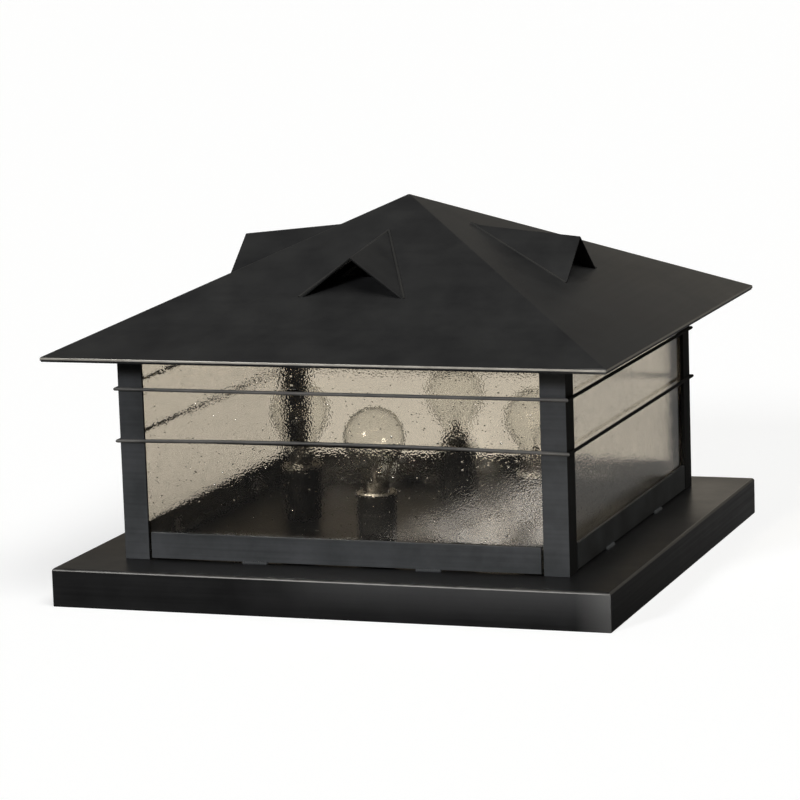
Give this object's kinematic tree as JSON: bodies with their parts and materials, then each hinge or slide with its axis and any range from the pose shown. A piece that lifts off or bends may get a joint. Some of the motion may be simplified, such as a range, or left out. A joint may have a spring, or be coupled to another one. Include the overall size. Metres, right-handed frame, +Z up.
{
  "type": "pier mount light",
  "caption": "Square outdoor lantern for the top of a pier: low folded pan, angle posts, seeded glass, lift-off hipped roof with vent gablets, and a diamond of screw-in bulbs.",
  "frame": {"origin": "centre of the underside of the base pan, on the surface that it stands on", "axes": "+Z up along the centre line of the lantern; -Y is the front, +X the right"},
  "size_m": [0.562, 0.562, 0.371],
  "materials": {
    "painted_steel": "satin black powder coat",
    "plated_steel": "zinc plated",
    "seeded_glass": "drawn, with seeds",
    "lampholder_black": "moulded phenolic",
    "nickel_shell": "nickel plated, rolled rim",
    "brass": "bright",
    "bulb_clear_glass": "clear, blown",
    "filament_wire": "drawn wire on a glass stem"
  },
  "bodies": {
    "lantern": {"base_pan": "painted_steel", "corner_post_front_left": "painted_steel", "corner_post_front_right": "painted_steel", "corner_post_back_right": "painted_steel", "corner_post_back_left": "painted_steel", "bottom_rail_front": "painted_steel", "bottom_rail_right": "painted_steel", "bottom_rail_back": "painted_steel", "bottom_rail_left": "painted_steel", "top_rail_front": "painted_steel", "top_rail_right": "painted_steel", "top_rail_back": "painted_steel", "top_rail_left": "painted_steel", "stitch_welds": "painted_steel", "upper_rod_front": "painted_steel", "upper_rod_right": "painted_steel", "upper_rod_back": "painted_steel", "upper_rod_left": "painted_steel", "lower_rod_front": "painted_steel", "lower_rod_right": "painted_steel", "lower_rod_back": "painted_steel", "lower_rod_left": "painted_steel", "mounting_strap_left": "plated_steel", "mounting_strap_right": "plated_steel", "glass_clips": "plated_steel", "locknuts": "plated_steel", "glass_pane_front": "seeded_glass", "glass_pane_right": "seeded_glass", "glass_pane_back": "seeded_glass", "glass_pane_left": "seeded_glass", "lampholder_front": "lampholder_black", "lampholder_right": "lampholder_black", "lampholder_back": "lampholder_black", "lampholder_left": "lampholder_black", "screw_shells": "nickel_shell", "centre_contacts": "brass", "threaded_nipples": "brass"},
    "roof": {"roof_panel_front": "painted_steel", "roof_panel_right": "painted_steel", "roof_panel_back": "painted_steel", "roof_panel_left": "painted_steel", "gablet_front": "painted_steel", "gablet_right": "painted_steel", "gablet_back": "painted_steel", "gablet_left": "painted_steel", "roof_cleats": "painted_steel", "roof_screws": "plated_steel"},
    "bulb_front": {"bulb_glass_front": "bulb_clear_glass", "bulb_cap_front": "brass", "filament_mount_front": "filament_wire"},
    "bulb_right": {"bulb_glass_right": "bulb_clear_glass", "bulb_cap_right": "brass", "filament_mount_right": "filament_wire"},
    "bulb_back": {"bulb_glass_back": "bulb_clear_glass", "bulb_cap_back": "brass", "filament_mount_back": "filament_wire"},
    "bulb_left": {"bulb_glass_left": "bulb_clear_glass", "bulb_cap_left": "brass", "filament_mount_left": "filament_wire"}
  },
  "joints": [
    {"name": "roof_lift", "type": "slide", "parent": "lantern", "child": "roof", "axis": [0, 0, 1], "range_m": [0, 0.2]},
    {"name": "bulb_front_unscrew", "type": "slide", "parent": "lantern", "child": "bulb_front", "axis": [0, 0, 1], "range_m": [0, 0.045]},
    {"name": "bulb_right_unscrew", "type": "slide", "parent": "lantern", "child": "bulb_right", "axis": [0, 0, 1], "range_m": [0, 0.045]},
    {"name": "bulb_back_unscrew", "type": "slide", "parent": "lantern", "child": "bulb_back", "axis": [0, 0, 1], "range_m": [0, 0.045]},
    {"name": "bulb_left_unscrew", "type": "slide", "parent": "lantern", "child": "bulb_left", "axis": [0, 0, 1], "range_m": [0, 0.045]}
  ]
}
